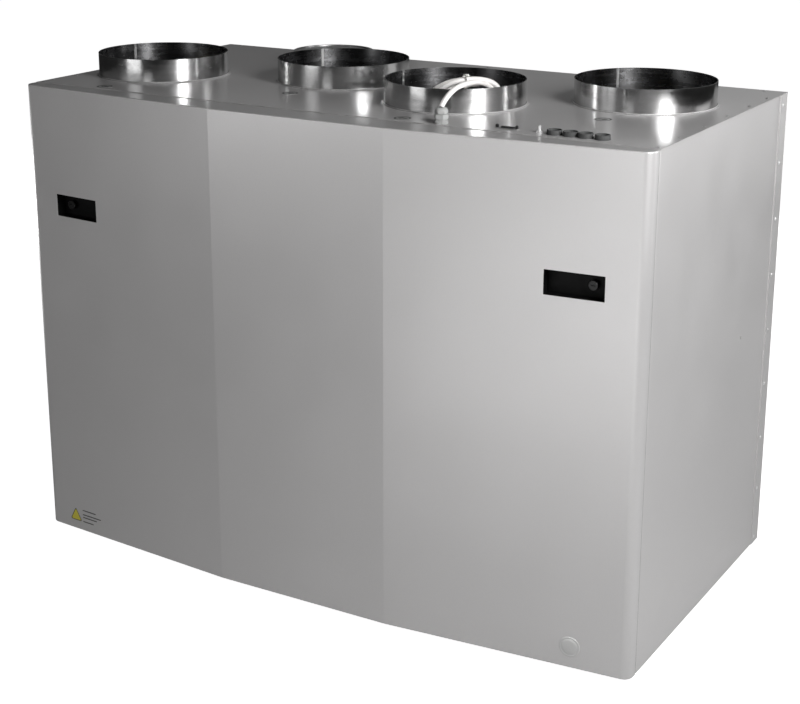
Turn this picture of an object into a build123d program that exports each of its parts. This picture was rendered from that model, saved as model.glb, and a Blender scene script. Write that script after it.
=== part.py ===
from build123d import *
import math
import os

os.makedirs("parts", exist_ok=True)

# ---------------------------------------------------------------------------
# Rotary heat recovery unit with four 250 mm duct spigots on its top.
# Cabinet frame while modelling: X across the front (0 at the middle), Y to the
# back (0 at the door's front vertical corners), Z up (0 at the casing's bottom).
# Every piece is shifted by (0, Y_SHIFT, FOOT_H) when it is written, so that the
# origin is the centre of the unit's footprint on the floor.
# ---------------------------------------------------------------------------
W = 1260.0            # casing width
H = 890.0             # casing height, without feet and spigots
D = 650.0             # depth from the door's corners to the back
BOW = 36.0            # how far the door's middle facet stands in front of its corners
CREASE_X = 177.0      # half width of the door's middle facet
T = 1.5               # sheet thickness
FOOT_H = 15.0
FOOT_R = 25.0
Y_SHIFT = -(D - BOW) / 2.0   # -307

DOOR_BACK = 24.0      # back face of the door
SEAL_T = 1.8          # door seal thickness
CASE_FRONT = 26.0     # front face of the casing's flange
DOOR_CORNER_R = 17.0
FLANGE_W = 40.0
INS = 30.0            # insulation thickness
BACK_IN = D - T - INS           # 618.5, inner face of the back insulation
SIDE_IN = W / 2 - 2 * T - INS   # 597, inner face of the side insulation
FLOOR_IN = T + INS              # 31.5
ROOF_IN = H - T - INS           # 858.5
IN_Y0 = 34.0          # front edge of the inner walls

DUCT_R = 125.0        # nominal 250 mm duct
SPIG_T = 1.2
SPIG_H = 44.0
SPIG_DOWN = 29.0
SPIGOTS = {
    "outdoor_air_spigot": (-488.0, 239.0),
    "exhaust_air_spigot": (-141.0, 347.0),
    "extract_air_spigot": (162.0, 236.0),
    "supply_air_spigot": (451.0, 403.0),
}
HOOD = (-275.0, 520.0)
HOOD_R = 80.0         # nominal 160 mm duct
HOOD_H = 25.0

HANDLE_X = 511.0
HANDLE_Z = 667.0
HANDLE_W = 103.0
HANDLE_HT = 42.0
HANDLE_DEPTH = 22.0
LATCH_X = 537.0
LATCH_R = 6.0
RUN = 0.05            # radial running clearance

WHEEL_Y = 332.0
WHEEL_Z = 320.0
WHEEL_R = 248.0
CAS_X = 118.0
CAS_HALF = 286.0

GLAND = (238.0, 49.0)
CORD_D = 9.0


def box(x0, x1, y0, y1, z0, z1):
    return Pos((x0 + x1) / 2, (y0 + y1) / 2, (z0 + z1) / 2) * Box(
        abs(x1 - x0), abs(y1 - y0), abs(z1 - z0)
    )


def cyl_z(x, y, z0, z1, r):
    return Pos(x, y, (z0 + z1) / 2) * Cylinder(r, z1 - z0)


def cyl_x(x0, x1, y, z, r):
    return Pos((x0 + x1) / 2, y, z) * Rot(0, 90, 0) * Cylinder(r, x1 - x0)


def cyl_y(x, y0, y1, z, r):
    return Pos(x, (y0 + y1) / 2, z) * Rot(90, 0, 0) * Cylinder(r, y1 - y0)


def poly_z(points, z0, z1):
    """A prism over a plan outline."""
    return Pos(0, 0, z0) * extrude(make_face(Polyline(*points, close=True)), z1 - z0)


def written(shape):
    solids = list(shape.solids()) if hasattr(shape, "solids") else [shape]
    return solids


MODEL = {}


def put(name, shape):
    """Keep a piece, moved into its final frame. A list is a group of separate solids."""
    if isinstance(shape, (list, tuple)):
        solids = [s for item in shape for s in item.solids()]
    else:
        solids = list(shape.solids())
    moved = [s.moved(Location((0, Y_SHIFT, FOOT_H))) for s in solids]
    MODEL[name] = moved
    export_step(moved[0] if len(moved) == 1 else Compound(children=moved), f"parts/{name}.step")


# ---------------------------------------------------------------- door -----
def facet_y(x):
    """Y of the door's front face at x."""
    x = abs(x)
    if x <= CREASE_X:
        return -BOW
    return -BOW + (x - CREASE_X) * BOW / (W / 2 - CREASE_X)


def door_outline(inset, back):
    """Plan outline of the door, inset by the sheet's thickness, open to `back`."""
    w = W / 2 - inset
    a = math.atan2(BOW, W / 2 - CREASE_X)
    # the slanting facets and the middle facet, each moved inwards by the inset
    yc = -BOW + inset
    xc = CREASE_X - inset * math.tan(a / 2)
    y_at_w = yc + (w - xc) * math.tan(a)
    return [(-w, back), (-w, y_at_w), (-xc, yc), (xc, yc), (w, y_at_w), (w, back)]


def door_prism(inset, back, z0, z1, r):
    pts = door_outline(inset, back)
    face = make_face(Polyline(*pts, close=True))
    corners = [v for v in face.vertices() if abs(abs(v.X) - (W / 2 - inset)) < 0.01 and v.Y < 10]
    face = fillet(corners, r)
    return Pos(0, 0, z0) * extrude(face, z1 - z0)


door_out = door_prism(0, DOOR_BACK, 0, H, DOOR_CORNER_R)
rim = [
    e
    for e in door_out.edges()
    if (abs(e.center().Z) < 0.01 or abs(e.center().Z - H) < 0.01) and e.center().Y < DOOR_BACK - 0.5
]
try:
    door_out = fillet(rim, 2.4)
except Exception as err:
    print("door rim fillet left out:", err)
door_cav = door_prism(T, DOOR_BACK + 5, T, H - T, DOOR_CORNER_R - T)
skin = door_out - door_cav

slope = math.atan2(BOW, W / 2 - CREASE_X)


def handle_plane(side):
    """Frame on a door facet at a handle: x along the facet, y up, z outwards."""
    x = side * HANDLE_X
    return Plane(
        origin=(x, facet_y(x), HANDLE_Z),
        x_dir=(math.cos(slope), side * math.sin(slope), 0),
        z_dir=(side * math.sin(slope), -math.cos(slope), 0),
    )


def in_plane(plane, w, h, z0, z1, cx=0.0, cy=0.0):
    return plane * (Pos(cx, cy, (z0 + z1) / 2) * Box(w, h, z1 - z0))


pockets, pocket_room = {}, {}
for side, name in ((-1, "left_handle_pocket"), (1, "right_handle_pocket")):
    p = handle_plane(side)
    skin = skin - in_plane(p, HANDLE_W, HANDLE_HT, -4, 4)
    outer = in_plane(p, HANDLE_W + 8, HANDLE_HT + 8, -T - HANDLE_DEPTH - 2, -T)
    flange = in_plane(p, HANDLE_W + 24, HANDLE_HT + 24, -T - 1.5, -T)
    inner = in_plane(p, HANDLE_W + 4, HANDLE_HT + 4, -T - HANDLE_DEPTH, 1)
    shell = outer + flange - inner
    shell = shell - cyl_y(side * LATCH_X, -30, 40, HANDLE_Z, LATCH_R + RUN)
    pockets[name] = shell
    pocket_room[name] = in_plane(p, HANDLE_W + 26, HANDLE_HT + 26, -T - 3, 0) + in_plane(
        p, HANDLE_W + 10, HANDLE_HT + 10, -T - HANDLE_DEPTH - 3, 0
    )

liner = box(-(W / 2 - T), W / 2 - T, DOOR_BACK - T, DOOR_BACK, T, H - T)
for side in (-1, 1):
    liner = liner - cyl_y(side * LATCH_X, 0, 60, HANDLE_Z, LATCH_R + RUN)

fill = door_prism(T + 0.3, DOOR_BACK - T - 0.2, T + 0.3, H - T - 0.3, DOOR_CORNER_R - T - 0.3)
for side, name in ((-1, "left_handle_pocket"), (1, "right_handle_pocket")):
    fill = fill - pocket_room[name] - cyl_y(side * LATCH_X, -40, 60, HANDLE_Z, LATCH_R + 3)

seal = box(-618, 618, DOOR_BACK, DOOR_BACK + SEAL_T, 12, H - 12) - box(
    -606, 606, DOOR_BACK - 1, DOOR_BACK + SEAL_T + 1, 24, H - 24
)

badge_x, badge_z, badge_r = 524.0, 39.0, 18.5
bp = Plane(
    origin=(badge_x, facet_y(badge_x), badge_z),
    x_dir=(math.cos(slope), math.sin(slope), 0),
    z_dir=(math.sin(slope), -math.cos(slope), 0),
)
badge = bp * (Pos(0, 0, 0.6) * Cylinder(badge_r, 1.2))
badge = chamfer(badge.edges().filter_by(GeomType.CIRCLE), 0.3)

put("front_door_skin", skin)
put("door_insulation", fill)
put("door_liner", liner)
put("door_seal", seal)
for name, shell in pockets.items():
    put(name, shell)
put("door_badge", badge)

# Quarter-turn latches: barrel through the pocket's floor, cam behind the liner.
CAM_L, CAM_W = 62.0, 15.0
for side, name in ((-1, "left_latch"), (1, "right_latch")):
    x = side * LATCH_X
    barrel = cyl_y(x, 8.0, 32.0, HANDLE_Z, LATCH_R)
    head = cyl_y(x, 6.0, 10.0, HANDLE_Z, LATCH_R + 2.5)
    head = chamfer(head.edges().filter_by(GeomType.CIRCLE).sort_by(Axis.Y)[0], 0.8)
    cam = (
        box(x - CAM_W / 2, x + CAM_W / 2, 28.5, 31.5, HANDLE_Z, HANDLE_Z + CAM_L - CAM_W / 2)
        + cyl_y(x, 28.5, 31.5, HANDLE_Z, CAM_W / 2)
        + cyl_y(x, 28.5, 31.5, HANDLE_Z + CAM_L - CAM_W / 2, CAM_W / 2)
    )
    slot = box(x - 4.0, x + 4.0, 4, 8.5, HANDLE_Z - 0.7, HANDLE_Z + 0.7)
    put(name, barrel + head + cam - slot)

# --------------------------------------------------------------- casing ----
RIV_R = 3.5
right_z = [12, 116, 222, 332, 440, 548, 656, 762, 869]
top_y = [132, 242, 351, 465, 562]
rivets = []


def dome(loc):
    """A blind rivet's head: a flat dome 1.3 mm high, standing on its plane."""
    r = RIV_R
    h = 1.3
    big = (r * r + h * h) / (2 * h)
    cap = Pos(0, 0, h - big) * Sphere(big)
    return loc * (cap & (Pos(0, 0, h / 2) * Cylinder(r, h)))


for side in (-1, 1):
    for z in right_z:
        pl = Plane(origin=(side * W / 2, 625, z), x_dir=(0, 1, 0), z_dir=(side, 0, 0))
        rivets.append(dome(pl))
    for y in top_y + [42]:
        rivets.append(dome(Plane(origin=(side * 620.0, y, H), x_dir=(1, 0, 0), z_dir=(0, 0, 1))))
for x in (-590, -388, -185, 18, 221, 424, 590):
    rivets.append(dome(Plane(origin=(x, 637.0, H), x_dir=(1, 0, 0), z_dir=(0, 0, 1))))
put("casing_rivets", rivets)


def side_panel(side):
    """Sheet with a rounded front fold and flanges at the front and the top."""
    xo = W / 2 - T          # outer face under the back panel's flange
    y0, y1 = CASE_FRONT, D - T
    r_fold = 9.0
    pts = [(xo, y1), (xo, y0), (W / 2 - FLANGE_W, y0)]
    outer = make_face(Polyline((xo - 60, y0), (xo, y0), (xo, y1), (xo - 60, y1), close=True))
    v = [v for v in outer.vertices() if abs(v.X - xo) < 0.01 and abs(v.Y - y0) < 0.01]
    outer = extrude(fillet(v, r_fold), H - T)
    inner = make_face(
        Polyline((xo - 70, y0 + T), (xo - T, y0 + T), (xo - T, y1 + 5), (xo - 70, y1 + 5), close=True)
    )
    v = [v for v in inner.vertices() if abs(v.X - (xo - T)) < 0.01 and abs(v.Y - y0 - T) < 0.01]
    inner = Pos(0, 0, -1) * extrude(fillet(v, r_fold - T), H + 2)
    p = outer - inner - box(xo - 80, W / 2 - FLANGE_W, y0 - 5, y1 + 5, -5, H + 5)
    # top flange, under the top panel
    p = p + box(xo - 22, xo - T / 2, y0 + r_fold + 3, y1 - T, H - 2 * T, H - T)
    if side > 0:
        p = p - cyl_x(xo - 20, xo + 20, 471, 467, 2.0)
    for x, y in SPIGOTS.values():
        if x * side > 0:
            p = p - cyl_z(abs(x), y, H - 40, H + 5, DUCT_R + 1.2)
    return p if side > 0 else mirror(p, Plane.YZ)


put("right_side_panel", side_panel(1))
put("left_side_panel", side_panel(-1))

# Back panel: a plate with flanges that wrap round the sides.
back = box(-W / 2, W / 2, D - T, D, 0, H - T)
for s in (-1, 1):
    back = back + box(s * (W / 2 - T), s * W / 2, 612, D, 0, H - T)
try:
    be = [e for e in back.edges().filter_by(Axis.Z) if abs(abs(e.center().X) - W / 2) < 0.01 and abs(e.center().Y - D) < 0.01]
    back = fillet(be, 1.4)
except Exception as err:
    print("back fillet left out:", err)
put("back_panel", back)

# Top panel: a plate with a rounded front fold, and holes for what passes through.
r_fold = 6.0
prof = make_face(Polyline((CASE_FRONT, H - 42), (CASE_FRONT, H), (D, H), (D, H - 42), close=True))
outer = Plane.YZ * make_face(Polyline((CASE_FRONT, H - 42), (CASE_FRONT, H), (D, H), (D, H - 42), close=True))
outer = fillet([v for v in outer.vertices() if abs(v.Y - CASE_FRONT) < 0.01 and abs(v.Z - H) < 0.01], r_fold)
inner = Plane.YZ * make_face(
    Polyline((CASE_FRONT + T, H - 60), (CASE_FRONT + T, H - T), (D + 5, H - T), (D + 5, H - 60), close=True)
)
inner = fillet([v for v in inner.vertices() if abs(v.Y - CASE_FRONT - T) < 0.01 and abs(v.Z - H + T) < 0.01], r_fold - T)
top = extrude(outer, W / 2, both=True) - extrude(inner, W, both=True)
# the front flange runs between the side panels' own flanges
for s in (-1, 1):
    top = top - box(s * (W / 2 - FLANGE_W - 0.3), s * (W / 2 + 5), CASE_FRONT - 2, CASE_FRONT + 12, H - 70, H - T)
TOP_HOLES = [(x, y, DUCT_R + 0.4) for x, y in SPIGOTS.values()] + [(HOOD[0], HOOD[1], HOOD_R + 0.4)]
for x, y, r in TOP_HOLES:
    top = top - cyl_z(x, y, H - 30, H + 5, r)
GROMMETS = [(439, 57), (467, 57), (493, 57), (522, 57)]
GROM_R = 13.0
for x, y in GROMMETS:
    top = top - cyl_z(x, y, H - 5, H + 5, 10.0)
top = top - cyl_z(GLAND[0], GLAND[1], H - 5, H + 5, 10.0)
CONN = (352.0, 61.0)
top = top - box(CONN[0] - 14, CONN[0] + 14, CONN[1] - 4, CONN[1] + 4, H - 5, H + 5)
FITTING = (412.0, 58.0)
top = top - cyl_z(FITTING[0], FITTING[1], H - 5, H + 5, 4.0)
put("top_panel", top)

# Base pan: plate with a front flange and low side walls inside the side panels.
xi = W / 2 - 2 * T - 0.2
xf = W / 2 - FLANGE_W - 0.3
base = box(-xi, xi, CASE_FRONT + 13, D - T, 0, T) + box(-xf, xf, CASE_FRONT, CASE_FRONT + 14, 0, T)
base = base + box(-xf, xf, CASE_FRONT, CASE_FRONT + T, 0, 30)
for s in (-1, 1):
    base = base + box(s * (xi - T), s * xi, CASE_FRONT + 14, D - T, 0, 24)
put("base_pan", base)

feet = []
for x in (-540.0, 540.0):
    for y in (90.0, 585.0):
        f = cyl_z(x, y, -FOOT_H, 0, FOOT_R)
        f = fillet(f.edges().filter_by(GeomType.CIRCLE).sort_by(Axis.Z)[0], 2.0)
        feet.append(f)
put("rubber_feet", feet)

# Insulation slabs.
put("base_insulation", box(-SIDE_IN + 0.5, SIDE_IN - 0.5, 36, BACK_IN, T, FLOOR_IN))
side_ins = []
for s in (-1, 1):
    slab = box(s * SIDE_IN, s * (W / 2 - 3 * T - 0.4), 46, BACK_IN, 25, H - 2 * T - 1)
    for x, y in SPIGOTS.values():
        slab = slab - cyl_z(x, y, H - 40, H + 5, DUCT_R + 1.2)
    side_ins.append(slab)
put("side_insulation", side_ins)
put("back_insulation", box(-(W / 2 - 3 * T - 1), W / 2 - 3 * T - 1, BACK_IN, D - T, 2, H - 2 * T - 1))
top_ins = box(-SIDE_IN + 0.5, SIDE_IN - 0.5, 36, BACK_IN, ROOF_IN, H - T)
for x, y, r in TOP_HOLES:
    top_ins = top_ins - cyl_z(x, y, ROOF_IN - 5, H + 5, r + 0.6)
top_ins = top_ins - cyl_z(*GLAND, ROOF_IN - 5, H + 5, 12.5)
top_ins = top_ins - box(330, 540, 30, 76, ROOF_IN - 5, H + 5)
put("top_insulation", top_ins)

# -------------------------------------------------------------- spigots ----
def spigot(x, y, r, h, down):
    tube = cyl_z(x, y, H - down, H + h, r) - cyl_z(x, y, H - down - 1, H + h + 1, r - SPIG_T)
    bead = Pos(x, y, H) * revolve(
        Plane.XZ * make_face(Polyline((r - 0.4, 0), (r + 3.6, 0), (r + 2.6, 1.6), (r + 1.0, 2.8), (r - 0.4, 3.2), close=True)),
        Axis.Z,
        360,
    )
    return tube + bead


for name, (x, y) in SPIGOTS.items():
    put(name, spigot(x, y, DUCT_R, SPIG_H, SPIG_DOWN))
put("hood_spigot", spigot(HOOD[0], HOOD[1], HOOD_R, HOOD_H, SPIG_DOWN))
# End cap of the cooker hood spigot: a plate with a rolled edge and a sleeve that
# drops inside the spigot.
cap_r = HOOD_R - SPIG_T - 0.3
cap = cyl_z(*HOOD, H + HOOD_H, H + HOOD_H + 3.0, HOOD_R + 1.0)
cap = fillet(cap.edges().filter_by(GeomType.CIRCLE).sort_by(Axis.Z)[-1], 1.4)
sleeve = cyl_z(*HOOD, H + HOOD_H - 22, H + HOOD_H + 1, cap_r) - cyl_z(
    *HOOD, H + HOOD_H - 23, H + HOOD_H + 0.01, cap_r - 1.2
)
dish = cyl_z(*HOOD, H + HOOD_H + 1.2, H + HOOD_H + 4, HOOD_R - 6)
put("hood_cap", cap + sleeve - dish)

# ---------------------------------------------------------- wheel cassette --
cy, cz = WHEEL_Y, WHEEL_Z
cas = box(-CAS_X, CAS_X, cy - CAS_HALF, cy + CAS_HALF, cz - CAS_HALF, cz + CAS_HALF)
cas = cas - box(-CAS_X + T, CAS_X - T, cy - CAS_HALF + T, cy + CAS_HALF - T, cz - CAS_HALF + T, cz + CAS_HALF - T)
opening = cyl_x(-CAS_X - 5, CAS_X + 5, cy, cz, 238.0)
cas = cas - opening
for s in (-1, 1):
    bar = box(s * (CAS_X - 4), s * CAS_X, cy - CAS_HALF + T / 2, cy + CAS_HALF - T / 2, cz - 22, cz + 22)
    cas = cas + bar
SHAFT_R = 10.0
cas = cas - cyl_x(-CAS_X - 5, CAS_X + 5, cy, cz, SHAFT_R)
put("wheel_cassette", cas)
put("rotor_shaft", cyl_x(-CAS_X, CAS_X, cy, cz, SHAFT_R))
ROT_X = 100.0
put("rotor_rim", cyl_x(-ROT_X, ROT_X, cy, cz, WHEEL_R) - cyl_x(-ROT_X - 1, ROT_X + 1, cy, cz, WHEEL_R - 3))
put("rotor_matrix", cyl_x(-ROT_X + 2, ROT_X - 2, cy, cz, WHEEL_R - 3) - cyl_x(-ROT_X - 1, ROT_X + 1, cy, cz, 30))
put("rotor_hub", cyl_x(-ROT_X, ROT_X, cy, cz, 30) - cyl_x(-ROT_X - 1, ROT_X + 1, cy, cz, 21))
bearings = []
for s in (-1, 1):
    a, b = sorted((s * (ROT_X - 14), s * ROT_X))
    bearings.append(cyl_x(a, b, cy, cz, 21) - cyl_x(a - 1, b + 1, cy, cz, SHAFT_R + RUN))
put("rotor_bearings", bearings)

# Drive: a small gear motor in the cassette's corner turns the wheel by a belt.
PUL_R = 25.0
py_, pz_ = cy - 212.0, cz + 212.0
BELT_GAP, BELT_T = 0.35, 2.5


def belt_face(extra):
    r1, r2 = WHEEL_R + extra, PUL_R + extra
    c1, c2 = Vector(cy, cz, 0), Vector(py_, pz_, 0)
    u = (c2 - c1).normalized()
    n = Vector(-u.Y, u.X, 0)
    d = (c2 - c1).length
    cb = (r1 - r2) / d
    sb = math.sqrt(1 - cb * cb)
    t1a, t1b = c1 + u * (r1 * cb) + n * (r1 * sb), c1 + u * (r1 * cb) - n * (r1 * sb)
    t2a, t2b = c2 + u * (r2 * cb) + n * (r2 * sb), c2 + u * (r2 * cb) - n * (r2 * sb)
    far1, far2 = c1 - u * r1, c2 + u * r2
    wire = Wire(
        [
            ThreePointArc(t1a, far1, t1b).edge(),
            Line(t1b, t2b).edge(),
            ThreePointArc(t2b, far2, t2a).edge(),
            Line(t2a, t1a).edge(),
        ]
    )
    return Face(wire)


b_out = extrude(belt_face(BELT_GAP + BELT_T), 5, both=True)
b_in = extrude(belt_face(BELT_GAP), 8, both=True)
belt = Plane(origin=(0, 0, 0), x_dir=(0, 1, 0), z_dir=(1, 0, 0)) * (b_out - b_in)
put("drive_belt", belt)
pulley = cyl_x(-6, 6, py_, pz_, PUL_R)
for a, b in ((-9, -6), (6, 9)):
    pulley = pulley + cyl_x(a, b, py_, pz_, PUL_R + 3.5)
# the flanges stand beside the belt, clear of the wheel's rim
pulley = pulley - cyl_x(-12, 12, py_, pz_, 4 + RUN)
put("motor_pulley", pulley)
motor = cyl_x(14, 84, py_, pz_, 30) + cyl_x(-11, 15, py_, pz_, 4)
motor = motor + box(30, 70, py_ - 22, py_ + 22, pz_, cz + CAS_HALF - T)
put("rotor_drive_motor", motor)

# ------------------------------------------------------------ inner walls --
LEFT_WALL, RIGHT_WALL = -360.0, 306.0
shelf_z = WHEEL_Z - T / 2
put(
    "mid_shelves",
    [
        box(LEFT_WALL + T, -CAS_X, IN_Y0, BACK_IN, shelf_z, shelf_z + T),
        box(CAS_X, RIGHT_WALL, IN_Y0, BACK_IN, shelf_z, shelf_z + T),
    ],
)
lwall = box(LEFT_WALL, LEFT_WALL + T, IN_Y0, BACK_IN, shelf_z, ROOF_IN)
EB = (205.0, 590.0, 36.0, 108.0, 640.0, 857.0)
rwall = box(RIGHT_WALL, RIGHT_WALL + T, IN_Y0, BACK_IN, shelf_z, ROOF_IN)
rwall = rwall - box(RIGHT_WALL - 5, RIGHT_WALL + 5, 0, EB[3] + 0.3, EB[4] - 0.3, H)
put("partition_walls", [lwall, rwall, box(10, 10 + T, IN_Y0, BACK_IN, cz + CAS_HALF, ROOF_IN)])

# --------------------------------------------------------------- plug fans --
FAN_R = 110.0


def fan(direction, x0, zc):
    """Inlet cone, impeller and motor of a plug fan whose inlet plate is at x0."""
    def at(shape):
        # local +Z of the shape is the flow's direction
        return Pos(x0, cy, zc) * Rot(0, 90 * direction, 0) * shape

    cone_prof = Plane.XZ * make_face(
        Polyline((100, -T - 2), (100, -T), (87, -T), (74, 7), (67, 22), (65.5, 22), (70.5, 5.5), (83, -T - 2), close=True)
    )
    cone = at(revolve(cone_prof, Axis.Z, 360))
    shroud_prof = Plane.XZ * make_face(
        Polyline((69, 18), (71, 18), (74, 26), (86, 31), (110, 35), (110, 37), (85, 33), (72.5, 28), close=True)
    )
    wheel = revolve(shroud_prof, Axis.Z, 360)
    wheel = wheel + Pos(0, 0, 79) * Cylinder(FAN_R, 2) + Pos(0, 0, 69) * Cylinder(28, 22)
    for k in range(7):
        blade = (
            Rot(0, 0, k * 360 / 7)
            * Pos(88, 0, 54)
            * Rot(0, 0, 48)
            * Box(50, 2.2, 49)
        )
        wheel = wheel + blade
    wheel = wheel & (Pos(0, 0, 49) * Cylinder(FAN_R, 62) )
    keep = revolve(
        Plane.XZ * make_face(Polyline((0, 17), (71.5, 17), (74, 25.5), (86, 30.6), (110, 34.7), (110, 81), (0, 81), close=True)),
        Axis.Z,
        360,
    )
    wheel = wheel & keep
    wheel = wheel - Pos(0, 0, 60) * Cylinder(6 + RUN, 60)
    stator = Pos(0, 0, 112) * Cylinder(46, 60) + Pos(0, 0, 70) * Cylinder(6, 30)
    stator = stator + Pos(0, 0, 143.5) * Box(214, 214, 3)
    for a in (-1, 1):
        for b in (-1, 1):
            stator = stator + Pos(a * 98, b * 98, 72.5) * Cylinder(5, 145)
    return cone, at(wheel), at(stator)


SUP_X, EXH_X = 160.0, -160.0
SUP_Z = (FLOOR_IN + shelf_z) / 2
EXH_Z = (shelf_z + T + cz + CAS_HALF) / 2
cone_s, wheel_s, motor_s = fan(1, SUP_X + T, SUP_Z)
cone_e, wheel_e, motor_e = fan(-1, EXH_X - T, EXH_Z)
bulk_s = box(SUP_X, SUP_X + T, IN_Y0, BACK_IN, FLOOR_IN, shelf_z) - cyl_x(SUP_X - 5, SUP_X + 5, cy, SUP_Z, 90)
bulk_e = (
    box(EXH_X - T, EXH_X, IN_Y0, BACK_IN, shelf_z + T, cz + CAS_HALF)
    + box(EXH_X - T, -CAS_X, IN_Y0, BACK_IN, cz + CAS_HALF - T, cz + CAS_HALF)
    - cyl_x(EXH_X - 5, EXH_X + 5, cy, EXH_Z, 90)
)
put("supply_fan_bulkhead", bulk_s)
put("exhaust_fan_bulkhead", bulk_e)
# the cones' flanges lie against the bulkheads' inlet side
put("inlet_cones", [cone_s, cone_e])
put("supply_impeller", wheel_s)
put("exhaust_impeller", wheel_e)
put("supply_fan_motor", motor_s)
put("exhaust_fan_motor", motor_e)

# ----------------------------------------------------------------- filters --
def filter_panel(x0, x1, y0, y1, z0, z1):
    frame = box(x0, x1, y0, y1, z0, z1) - box(x0 - 1, x1 + 1, y0 + 14, y1 - 14, z0 + 14, z1 - 14)
    n = 22
    step = (y1 - y0 - 28) / n
    front, rear = [], []
    for i in range(n + 1):
        y = y0 + 14 + i * step
        xa = x0 + 4 if i % 2 == 0 else x1 - 7
        front.append((xa, y))
        rear.append((xa + 3, y))
    media = make_face(Polyline(*(front + rear[::-1]), close=True))
    media = Pos(0, 0, z0 + 13.5) * extrude(media, z1 - z0 - 27)
    clip = box(x0, x1, y0 + 13.5, y1 - 13.5, z0 + 13.5, z1 - 13.5)
    return frame + (media & clip)


put("supply_filter", filter_panel(-203, -155, 38, 616, FLOOR_IN + 4, shelf_z - 4))
put("extract_filter", filter_panel(126, 174, 38, 616, shelf_z + T + 4, cz + CAS_HALF - 4))


def rail(x0, x1, z, up):
    """A channel that a filter's edge slides in."""
    z0, z1 = (z, z + 1.5) if up else (z - 1.5, z)
    r = box(x0 - 3, x1 + 3, 36, BACK_IN, z0, z1)
    for x in (x0 - 3, x1 + 1.5):
        r = r + (box(x, x + 1.5, 36, BACK_IN, z, z + 14) if up else box(x, x + 1.5, 36, BACK_IN, z - 14, z))
    return r


put(
    "filter_rails",
    [
        rail(-203, -155, FLOOR_IN, True),
        rail(-203, -155, shelf_z, False),
        rail(126, 174, shelf_z + T, True),
        rail(126, 174, cz + CAS_HALF, False),
    ],
)

# ---------------------------------------------- heater, electronics, top ----
heater = box(310, 594, 130, 614, 350, 410) - box(312, 592, 132, 612, 349, 411)
for y in (180, 240, 300, 360, 420, 480, 540):
    for z in (368, 392):
        heater = heater + cyl_x(311, 593, y, z, 4.0)
put("electric_heater", heater)

ex0, ex1, ey0, ey1, ez0, ez1 = EB
ebox = box(*EB) - box(ex0 + T, ex1 - T, ey0 - 1, ey1 - T, ez0 + T, ez1 - T)
for x, y in GROMMETS + [GLAND, CONN]:
    ebox = ebox - cyl_z(x, y, ez1 - 5, ez1 + 5, 12.0)
put("electronics_box", ebox)
put("electronics_cover", box(ex0, ex1, ey0 - T, ey0, ez0, ez1))
board = box(ex0 + 20, ex1 - 60, ey1 - 12, ey1 - 10.4, ez0 + 30, ez1 - 50)
for x0, x1, z0, z1, h in (
    (240, 290, 690, 730, 30),
    (300, 330, 690, 720, 22),
    (350, 368, 750, 768, 14),
    (380, 470, 685, 697, 12),
    (400, 440, 740, 780, 18),
    (480, 510, 700, 760, 26),
):
    board = board + box(x0, x1, ey1 - 12 - h, ey1 - 12, z0, z1)
for x in (230, 370, 525):
    for z in (676, 800):
        board = board + cyl_y(x, ey1 - 11, ey1 - T, z, 3.0)
put("control_board", board)

# Cable gland: serrated locknut, hexagon and dome nut with the cord's hole.
def hexagon(x, y, z0, z1, flats, turn=0.0):
    r = flats / math.sqrt(3)
    pts = [(x + r * math.cos(math.radians(60 * k + turn)), y + r * math.sin(math.radians(60 * k + turn))) for k in range(6)]
    return poly_z(pts, z0, z1)


gx, gy = GLAND
GLAND_TOP = H + 27.0
nut = hexagon(gx, gy, H + 7.0, H + 17.0, 24.0, 12.0)
collar = cyl_z(gx, gy, H + 17.0, GLAND_TOP - 1, 11.6)
collar = collar + hexagon(gx, gy, H + 16.0, GLAND_TOP - 4.0, 24.0, 12.0)
collar = fillet(collar.faces().sort_by(Axis.Z)[-1].edges(), 1.5)
ring = cyl_z(gx, gy, H, H + 7.0, 12.5)
for k in range(16):
    a = math.radians(k * 22.5)
    ring = ring - (Pos(gx + 13.1 * math.cos(a), gy + 13.1 * math.sin(a), H + 3.5) * Cylinder(1.5, 9))
thread = cyl_z(gx, gy, H - 14, H + 1, 9.8)
gland = nut + collar + ring + thread
gland = gland + cyl_z(gx, gy, GLAND_TOP - 2, GLAND_TOP, 8.5)
gland = gland - cyl_z(gx, gy, H - 20, H + 40, CORD_D / 2 + 0.1)
put("cable_gland", gland)

groms = []
for x, y in GROMMETS:
    g = cyl_z(x, y, H, H + 8.0, GROM_R) + cyl_z(x, y, H - 5, H + 1, 9.8)
    g = fillet(g.edges().filter_by(GeomType.CIRCLE).sort_by(Axis.Z)[-1], 1.8)
    g = g - cyl_z(x, y, H + 5.0, H + 9, 8.5) 
    groms.append(g)
put("cable_grommets", groms)

cx0, cy0 = CONN
conn = box(cx0 - 17, cx0 + 17, cy0 - 6, cy0 + 6, H, H + 1.4)
conn = conn + box(cx0 - 9.5, cx0 + 9.5, cy0 - 4, cy0 + 4, H - 8, H + 6.0)
conn = conn - box(cx0 - 8.2, cx0 + 8.2, cy0 - 2.7, cy0 + 2.7, H + 2.0, H + 7)
for s in (-1, 1):
    conn = conn + hexagon(cx0 + s * 13.5, cy0, H + 1, H + 6, 5.0)
put("service_connector", conn)
fit_ = cyl_z(*FITTING, H - 4, H + 2, 3.9) + hexagon(FITTING[0], FITTING[1], H, H + 3, 10.0) + cyl_z(*FITTING, H + 2, H + 12, 2.6)
put("pressure_nipple", fit_)


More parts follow.
